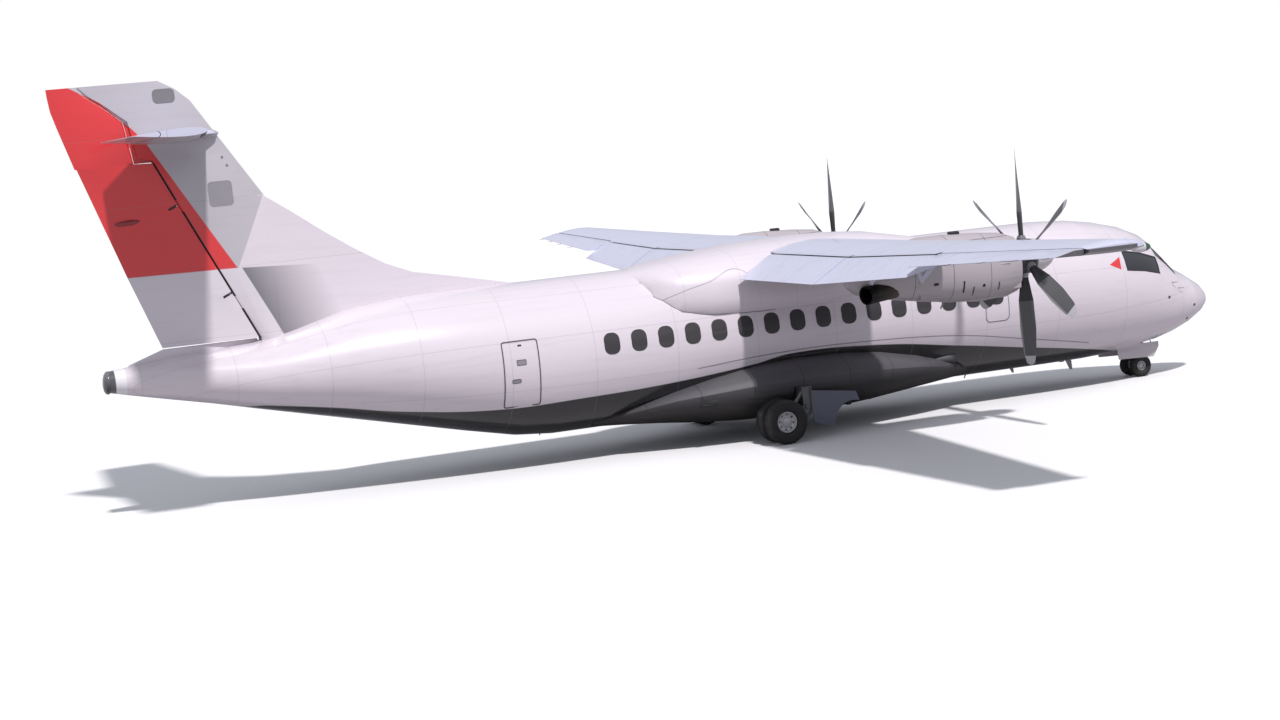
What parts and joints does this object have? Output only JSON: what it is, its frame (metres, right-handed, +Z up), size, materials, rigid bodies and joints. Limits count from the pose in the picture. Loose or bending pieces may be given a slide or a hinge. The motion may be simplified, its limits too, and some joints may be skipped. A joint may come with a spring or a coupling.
{
  "type": "turboprop airliner",
  "caption": "High-wing twin-turboprop airliner with a T-tail, on its wheels: turning propellers and wheels, hinged flaps, ailerons, elevators, rudder and doors.",
  "frame": {"origin": "on the ground, on the aircraft's centre plane, halfway between the nose tip and the rear end of the rudder", "axes": "+X to the nose, +Y to the left wing tip, +Z up"},
  "size_m": [22.6699, 24.57, 7.59],
  "materials": {
    "white_paint": "gloss white paint",
    "wing_paint": "satin pale grey paint",
    "grey_paint": "satin mid grey paint",
    "belly_paint": "satin charcoal paint",
    "red_paint": "gloss red paint",
    "cockpit_glass": "dark laminated glazing",
    "tyre_rubber": "matt rubber",
    "wheel_alloy": "satin alloy",
    "gear_steel": "satin steel",
    "blade_composite": "matt black composite",
    "engine_metal": "dull metal"
  },
  "bodies": {
    "airframe": {"belly_fairing": "belly_paint", "centre_fuselage": "white_paint", "centre_wing": "wing_paint", "cockpit_section": "white_paint", "dorsal_fin": "white_paint", "engine_L": "engine_metal", "engine_R": "engine_metal", "exhaust_L": "engine_metal", "exhaust_R": "engine_metal", "fin": "grey_paint", "fin_tip": "grey_paint", "forward_fuselage": "white_paint", "main_leg_L": "gear_steel", "main_leg_R": "gear_steel", "main_leg_door_L": "belly_paint", "main_leg_door_R": "belly_paint", "nacelle_L": "grey_paint", "nacelle_R": "grey_paint", "nose_door_L": "white_paint", "nose_door_R": "white_paint", "nose_leg_upper": "gear_steel", "outer_wing_L": "wing_paint", "outer_wing_R": "wing_paint", "radome": "white_paint", "rear_fuselage": "white_paint", "service_door": "white_paint", "side_window_L": "cockpit_glass", "side_window_R": "cockpit_glass", "tail_cone": "white_paint", "tailplane": "grey_paint", "windscreen": "cockpit_glass", "wing_fairing": "white_paint"},
    "propeller_left": {"propeller_L": "blade_composite", "spinner_L": "white_paint"},
    "propeller_right": {"propeller_R": "blade_composite", "spinner_R": "white_paint"},
    "rudder": {"rudder": "red_paint"},
    "elevators": {"elevator_L": "grey_paint", "elevator_R": "grey_paint"},
    "aileron_left": {"aileron_L": "wing_paint"},
    "aileron_right": {"aileron_R": "wing_paint"},
    "flap_inner_left": {"flap_inner_L": "wing_paint"},
    "flap_inner_right": {"flap_inner_R": "wing_paint"},
    "flap_outer_left": {"flap_outer_L": "wing_paint"},
    "flap_outer_right": {"flap_outer_R": "wing_paint"},
    "main_wheels_left": {"main_L_wheels": "wheel_alloy", "main_L_tyre_left": "tyre_rubber", "main_L_tyre_right": "tyre_rubber"},
    "main_wheels_right": {"main_R_wheels": "wheel_alloy", "main_R_tyre_left": "tyre_rubber", "main_R_tyre_right": "tyre_rubber"},
    "nose_strut": {"nose_leg_lower": "gear_steel"},
    "nose_wheels": {"nose_wheels": "wheel_alloy", "nose_tyre_left": "tyre_rubber", "nose_tyre_right": "tyre_rubber"},
    "airstair": {"airstair_door": "white_paint", "airstair_steps": "grey_paint"},
    "cargo_door": {"cargo_door": "white_paint"}
  },
  "joints": [
    {"name": "propeller_left_spin", "type": "hinge", "parent": "airframe", "child": "propeller_left", "pos_m": [4.97, 4.05, 3.03], "axis": [1, 0, 0], "continuous": true},
    {"name": "propeller_right_spin", "type": "hinge", "parent": "airframe", "child": "propeller_right", "pos_m": [4.97, -4.05, 3.03], "axis": [1, 0, 0], "continuous": true},
    {"name": "rudder_turn", "type": "hinge", "parent": "airframe", "child": "rudder", "pos_m": [-8.25, 0, 2.95], "axis": [-0.4169, 0, 0.9089], "range_deg": [-27, 27]},
    {"name": "elevator_turn", "type": "hinge", "parent": "airframe", "child": "elevators", "pos_m": [-10.04, 0, 6.6], "axis": [0, 1, 0], "range_deg": [-13, 23]},
    {"name": "aileron_left_turn", "type": "hinge", "parent": "airframe", "child": "aileron_left", "pos_m": [1.31173, 8.02, 3.45215], "axis": [0.0195, 0.9989, 0.0433], "range_deg": [-14, 14]},
    {"name": "aileron_right_turn", "type": "hinge", "parent": "airframe", "child": "aileron_right", "pos_m": [1.31173, -8.02, 3.45215], "axis": [-0.0195, 0.9989, -0.0433], "range_deg": [-14, 14]},
    {"name": "flap_inner_left_turn", "type": "hinge", "parent": "airframe", "child": "flap_inner_left", "pos_m": [1.2496, 1.5, 2.97382], "axis": [0, 1, 0], "range_deg": [-20, 15]},
    {"name": "flap_inner_right_turn", "type": "hinge", "parent": "airframe", "child": "flap_inner_right", "pos_m": [1.2496, -1.5, 2.97382], "axis": [0, 1, 0], "range_deg": [-20, 15]},
    {"name": "flap_outer_left_turn", "type": "hinge", "parent": "airframe", "child": "flap_outer_left", "pos_m": [1.25038, 4.87, 2.97555], "axis": [0.0195, 0.9989, 0.0433], "range_deg": [-20, 15]},
    {"name": "flap_outer_right_turn", "type": "hinge", "parent": "airframe", "child": "flap_outer_right", "pos_m": [1.25038, -4.87, 2.97555], "axis": [-0.0195, 0.9989, -0.0433], "range_deg": [-20, 15]},
    {"name": "main_wheels_left_spin", "type": "hinge", "parent": "airframe", "child": "main_wheels_left", "pos_m": [0.85, 2.05, 0.4065], "axis": [0, 1, 0], "continuous": true},
    {"name": "main_wheels_right_spin", "type": "hinge", "parent": "airframe", "child": "main_wheels_right", "pos_m": [0.85, -2.05, 0.4065], "axis": [0, 1, 0], "continuous": true},
    {"name": "nose_steer", "type": "hinge", "parent": "airframe", "child": "nose_strut", "pos_m": [9.64, 0, 0.5597], "axis": [0, 0, 1], "range_deg": [-60, 60]},
    {"name": "nose_wheels_spin", "type": "hinge", "parent": "nose_strut", "child": "nose_wheels", "pos_m": [9.6, 0, 0.225], "axis": [0, 1, 0], "continuous": true},
    {"name": "airstair_turn", "type": "hinge", "parent": "airframe", "child": "airstair", "pos_m": [-3.8, 1.342, 1.398], "axis": [-1, 0, 0], "range_deg": [0, 130]},
    {"name": "cargo_door_turn", "type": "hinge", "parent": "airframe", "child": "cargo_door", "pos_m": [7, 1.236, 2.74], "axis": [1, 0, 0], "range_deg": [0, 120]}
  ],
  "couplings": [
    {"joint": "aileron_right_turn", "follows": "aileron_left_turn", "ratio": -1},
    {"joint": "flap_inner_right_turn", "follows": "flap_inner_left_turn", "ratio": 1},
    {"joint": "flap_outer_left_turn", "follows": "flap_inner_left_turn", "ratio": 1},
    {"joint": "flap_outer_right_turn", "follows": "flap_inner_left_turn", "ratio": 1}
  ]
}
